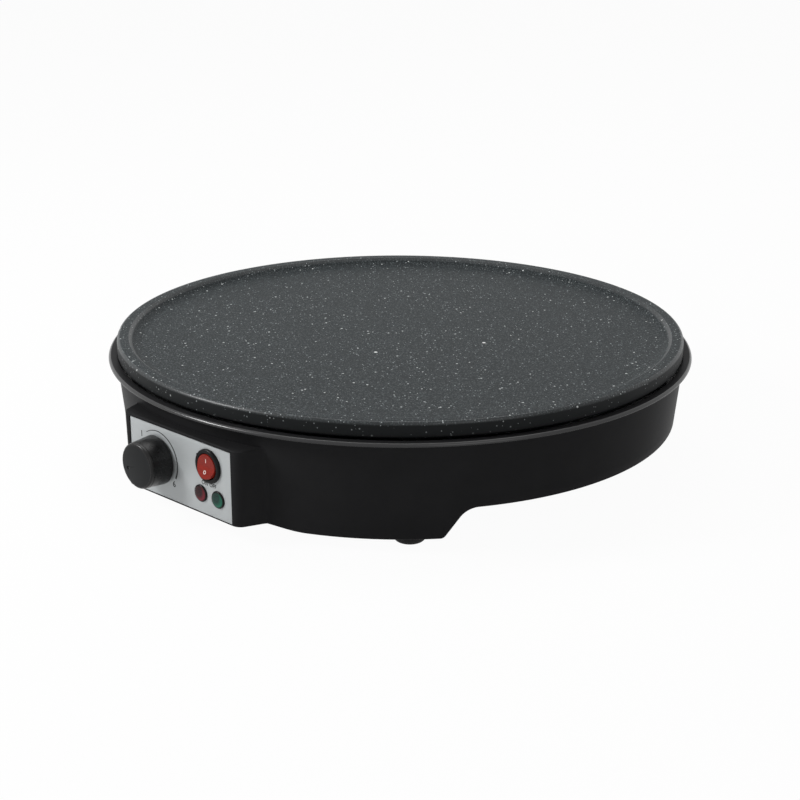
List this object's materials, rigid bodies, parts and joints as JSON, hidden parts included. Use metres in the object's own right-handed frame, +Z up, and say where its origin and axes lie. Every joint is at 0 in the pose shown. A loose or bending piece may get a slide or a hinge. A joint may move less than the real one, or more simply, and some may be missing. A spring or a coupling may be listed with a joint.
{
  "type": "electric crepe maker",
  "caption": "Round free-standing electric crepe maker with a fixed rimmed griddle plate, black moulded base and a front control box with knob, rocker switch and lamps.",
  "frame": {"origin": "on the table, under the centre of the round plate", "axes": "+Z up; the control panel faces -Y and the cord gland faces +Y; +X is to the right of a cook who faces the panel"},
  "size_m": [0.3092, 0.3361, 0.0666],
  "materials": {
    "plate_coating": "speckled non-stick coating on cast aluminium",
    "shell_plastic": "fine moulded satin, black",
    "panel_silver": "satin silver",
    "knob_plastic": "glossy black, satin face",
    "bezel_plastic": "glossy black",
    "rocker_red": "translucent red",
    "lens_red": "dark translucent red",
    "lens_green": "dark translucent green",
    "foot_rubber": "matte black",
    "steel": "zinc plated",
    "brass": "plain",
    "copper_tube": "drawn copper",
    "shield_aluminium": "mill finish",
    "element_sheath": "oxidised steel sheath",
    "ceramic": "unglazed steatite",
    "spacer_resin": "black heat-proof resin",
    "control_resin": "cream moulding",
    "neon_glass": "clear glass bulb",
    "wire_brown": "insulated wire with crimped receptacles",
    "wire_blue": "insulated wire with crimped receptacles",
    "wire_green": "insulated wire with a ring tag",
    "wire_white": "thin insulated leads"
  },
  "bodies": {
    "base": {"griddle_plate": "plate_coating", "base_shell": "shell_plastic", "bottom_cover": "shell_plastic", "control_panel": "panel_silver", "thermostat_bush_nut": "steel", "thermostat_body": "control_resin", "thermostat_tabs": "brass", "capillary_tube": "copper_tube", "sensor_bulb": "copper_tube", "bulb_clip": "steel", "switch_body": "bezel_plastic", "switch_tabs": "brass", "red_lamp_lens": "lens_red", "green_lamp_lens": "lens_green", "neon_lamps": "neon_glass", "lamp_holders": "control_resin", "foot_front_left": "foot_rubber", "foot_front_right": "foot_rubber", "foot_rear_left": "foot_rubber", "foot_rear_right": "foot_rubber", "foot_screws": "steel", "cover_screws": "steel", "plate_spacers": "spacer_resin", "plate_screws": "steel", "heat_shield": "shield_aluminium", "heating_element": "element_sheath", "element_insulators": "ceramic", "element_tabs": "steel", "element_clamps": "steel", "clamp_screws": "steel", "thermal_fuse": "steel", "fuse_clip": "steel", "terminal_block": "control_resin", "terminal_screws": "brass", "block_screws": "steel", "live_wire": "wire_brown", "switch_wire": "wire_brown", "feed_wire": "wire_brown", "neutral_wire": "wire_blue", "earth_wire": "wire_green", "lamp_wires": "wire_white", "earth_screw": "brass", "gland_body": "shell_plastic", "gland_locknut": "shell_plastic", "gland_seal": "foot_rubber", "gland_cap": "shell_plastic"},
    "knob": {"temperature_knob": "knob_plastic", "thermostat_shaft": "steel"},
    "rocker": {"rocker_button": "rocker_red"}
  },
  "joints": [
    {"name": "knob_turn", "type": "hinge", "parent": "base", "child": "knob", "pos_m": [-0.0164, -0.1545, 0.0294], "axis": [0, 1, 0], "range_deg": [0, 240]},
    {"name": "rocker_tip", "type": "hinge", "parent": "base", "child": "rocker", "pos_m": [0.0212, -0.1553, 0.0361], "axis": [1, 0, 0], "range_deg": [0, 19]}
  ]
}
